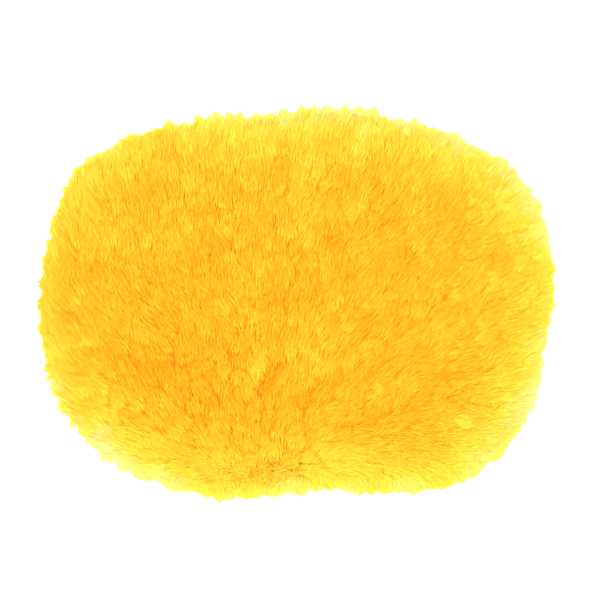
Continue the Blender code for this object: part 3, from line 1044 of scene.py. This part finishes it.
def elastic_piece(material):
    """The woven elastic band in the hem's groove, with its lengthwise rubber cords."""
    low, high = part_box("cuff_elastic")
    columns = 420
    share = np.arange(columns) / columns
    outer = high.z - SEAM_Z
    inner = CUFF_RADIUS - 0.0010
    cords = 7
    profile = []
    for place in np.linspace(0, 1, cords * 6 + 1):
        ridge = 0.00012 * (math.cos(place * cords * 2 * math.pi) - 1)
        profile.append((low.x + (high.x - low.x) * place, outer + ridge))
    for place in np.linspace(1, 0, cords * 2 + 1):
        profile.append((low.x + (high.x - low.x) * place, inner))
    weave = 0.00004 * np.sin(share * 2 * math.pi * 200)
    rings = [oval(share, radius - 0.00004 + weave, x) for x, radius in profile]
    attach(torus_piece("elastic_band", rings, material), "cuff_elastic")


def cuff_stitches(material):
    """The row of slanting stitches that joins the cuff to the lining."""
    low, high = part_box("cuff_stitching")
    radius = 0.00034
    x = (low.x + high.x) / 2
    count = round(OVAL_LENGTH / 0.0026)
    paths = []
    for number in range(count):
        spot = (number + np.linspace(0.08, 0.92, 7)) / count
        height = CUFF_RADIUS - CUFF_WALL / 2 + 0.0002 * np.sin(np.linspace(0, math.pi, 7))
        slant = np.linspace(-0.00012, 0.00012, 7)
        paths.append(oval(spot, height, x + slant))
    attach(tubes("cuff_stitches", paths, [radius] * count, material), "cuff_stitching")


def loop_piece(material):
    """The hanging loop: twill tape on edge, bent round at both ends."""
    low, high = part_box("hang_loop")
    tape = 0.0008
    twill_pitch = 0.0011
    outer = (high.y - low.y) / 2
    middle = outer - tape / 2
    half_height = (high.z - low.z) / 2
    half_straight = (high.x - low.x - GAP) / 2 - outer
    share = np.arange(360)[:, None] / 360
    centre, turn = oval_turn(share + 0.5, half_straight, middle)
    run = share * (4 * half_straight + 2 * math.pi * middle)
    place = np.concatenate([np.linspace(-1, 1, 25), np.linspace(1, -1, 25)])
    face = np.repeat([1, -1], 25)
    rounded = np.sqrt(np.maximum(0, 1 - np.abs(place) ** 10))
    twill = 0.00006 * np.sin((run + face * place * half_height) / twill_pitch * 2 * math.pi)
    selvedge = 0.00006 * (np.abs(place) > 0.82)
    radius = middle + face * rounded * (tape / 2 - 0.00012 + twill + selvedge)
    x = (low.x + high.x - GAP) / 2 + centre + radius * np.cos(turn)
    y = (low.y + high.y) / 2 + radius * np.sin(turn)
    z = np.broadcast_to(SEAM_Z + place * half_height, x.shape)
    obj = torus_piece("tape_loop", np.stack([x, y, z], axis=-1), material)
    attach(obj, "hang_loop", "hang_loop")


def bartack_piece(material):
    """The dense bar of thread wraps beside the loop's sewn end."""
    low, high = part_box("loop_bartack")
    radius = 0.00019
    wraps = int((high.z - low.z) / (radius * 2.1))
    half_x = (high.x - low.x) / 2 - radius
    half_y = (high.y - low.y) / 2 - radius
    turns = np.arange(20) * 2 * math.pi / 20
    x = (low.x + high.x) / 2 + half_x * np.sign(np.cos(turns)) * np.abs(np.cos(turns)) ** 0.5
    y = (low.y + high.y) / 2 + half_y * np.sign(np.sin(turns)) * np.abs(np.sin(turns)) ** 0.5
    lean = 0.5 * radius * np.cos(turns)
    levels = np.linspace(low.z + radius, high.z - radius, wraps)
    paths = [np.stack([x, y, z + lean], axis=-1) for z in levels]
    obj = tubes("bartack_wraps", paths, [radius] * wraps, material, closed=True)
    attach(obj, "loop_bartack", "back_half")


def label_piece(material):
    """The blank satin care label, its free end curling up a little."""
    low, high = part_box("care_label")
    rows, columns = 30, 36
    along, across = np.meshgrid(np.linspace(0, 1, rows), np.linspace(0, 1, columns), indexing="ij")
    x = low.x + (high.x - low.x) * along
    y = low.y + (high.y - low.y) * across
    base = low.z + 0.00006 + 0.0016 * along ** 2.5 * (0.6 + 0.4 * np.cos(across * 5))
    hem = 0.00007 * (np.abs(across - 0.5) > 0.44)
    top = np.stack([x, y, base + 0.00024 + hem], axis=-1)
    bottom = np.stack([x, y, base - 0.5 * hem], axis=-1)
    vertices = np.concatenate([top.reshape(-1, 3), bottom.reshape(-1, 3)])
    count = rows * columns
    faces = []
    for start in (0, count):
        faces += rolled(rows, columns, closed_columns=False, start=start)
    grid = np.arange(count).reshape(rows, columns)
    border = np.concatenate([grid[0], grid[1:, -1], grid[-1, -2::-1], grid[-2:0:-1, 0]]).tolist()
    for vertex, after in zip(border, border[1:] + border[:1]):
        faces.append((vertex, after, after + count, vertex + count))
    attach(build("blank_label", vertices, faces, material, 50), "care_label", "care_label")


def label_stitches(material):
    """The stitches along the label's sewn end."""
    low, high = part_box("label_stitching")
    radius = 0.00020
    count = int((high.y - low.y) / 0.0022)
    pitch = (high.y - low.y) / count
    paths = []
    for number in range(count):
        y = low.y + pitch * (number + np.linspace(0.12, 0.88, 7))
        z = low.z + radius + 0.0001 * np.sin(np.linspace(0, math.pi, 7))
        paths.append(np.stack([np.full(7, (low.x + high.x) / 2), y, z], axis=-1))
    obj = tubes("label_stitches", paths, [radius] * count, material)
    attach(obj, "label_stitching", "back_half")


# ---------------------------------------------------------------- studio

def make_stage():
    """A pale floor, soft light, and the camera straight above."""
    reach = 6.0
    floor_mesh = bpy.data.meshes.new("floor")
    corners = [(-reach, -reach, 0), (reach, -reach, 0), (reach, reach, 0), (-reach, reach, 0)]
    floor_mesh.from_pydata(corners, [], [(0, 1, 2, 3)])
    material, nodes, links, shader = new_material("floor")
    set_inputs(shader, {"Base Color": (0.93, 0.93, 0.93, 1), "Roughness": 0.9})
    add_object("floor", floor_mesh, material)

    scene = bpy.context.scene
    scene.world = bpy.data.worlds.new("studio")
    scene.world.use_nodes = True
    set_inputs(scene.world.node_tree.nodes["Background"], {"Color": (1, 1, 1, 1), "Strength": 2.9})

    lamp_data = bpy.data.lights.new("softbox", "AREA")
    lamp_data.shape = "DISK"
    lamp_data.size = 1.2
    lamp_data.energy = 26
    lamp = add_object("softbox", lamp_data)
    lamp.location = (0.10, 0.05, 1.4)
    lamp.rotation_euler = (Vector((0, 0, 0.03)) - lamp.location).to_track_quat("-Z", "Y").to_euler()

    height = 1.6
    view_width = 0.3098
    camera_data = bpy.data.cameras.new("camera")
    camera_data.sensor_width = 36
    camera_data.lens = camera_data.sensor_width * height / view_width
    scene.camera = add_object("camera", camera_data)
    scene.camera.location = (0.0012, 0.0010, SEAM_Z + height)
    scene.view_settings.view_transform = "Standard"
    scene.cycles.diffuse_bounces = 8
    scene.cycles.transmission_bounces = 8


def main():
    pile = pile_material("pile", 0.55)
    felt = pile_material("felt", 0)
    backing = cloth_material("jersey", (250, 206, 70), (222, 160, 28), (0.0016, 0.0011), 0.9, 0.0004)
    lining = cloth_material("lining_weave", (246, 240, 222), (214, 204, 178), (0.0007, 0.0007), 0.6, 0.0001)
    foam = foam_material()
    knit = cloth_material("rib_knit", (252, 204, 40), (228, 158, 14), (0.0012, 0.0009), 0.85, 0.0003)
    elastic = cloth_material("elastic_weave", (252, 212, 84), (228, 170, 40), (0.0009, 0.0006), 0.55, 0.0001)
    thread = cloth_material(
        "thread_twist", (253, 214, 60), (226, 160, 20), (0.0004, 0.0004), 0.5, 0.0001, ("DIAGONAL", "Z"), 0.5
    )
    tape = cloth_material(
        "tape_twill", (250, 196, 34), (220, 146, 12), (0.0010, 0.0010), 0.6, 0.0002, ("X", "Z"), 0.6
    )
    satin = cloth_material("label_satin", (250, 249, 244), (228, 226, 218), (0.0003, 0.0006), 0.35, 0.00005)
    undercoat("front_undercoat", 1, "front_pile", felt)
    undercoat("back_undercoat", -1, "back_pile", felt)
    tufts = rim_tufts(TUFT_WIDTHS, TUFT_HEIGHT, 0.15)
    points = rim_tufts(TIP_WIDTHS, TIP_HEIGHT, 0.25)
    pile_pieces(1, FRONT_STRANDS, "front_locks", tufts, points, pile)
    pile_pieces(-1, BACK_STRANDS, "back_locks", tufts, points, pile)
    bag_layer("backing", BAG_EDGE, BAG_RISE, BAG_SHOULDER, BACKING, (200,), knit_unevenness, backing)
    lining_edge = inset(BAG_EDGE, LINING_INSET)
    bag_layer("lining", lining_edge, LINING_RISE, LINING_SHOULDER, LINING, (260, 40), lining_creases, lining)
    foam_sheet(foam)
    seam_insets = (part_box("seam_allowance")[0].x - BAG_LOW.x, LINING_INSET - 2 * GAP)
    seam_edges(backing, *seam_insets)
    seam_overlock(thread, *seam_insets)
    facing_piece(backing)
    cuff_piece(knit)
    elastic_piece(elastic)
    cuff_stitches(thread)
    loop_piece(tape)
    bartack_piece(thread)
    label_piece(satin)
    label_stitches(thread)
    make_stage()


main()
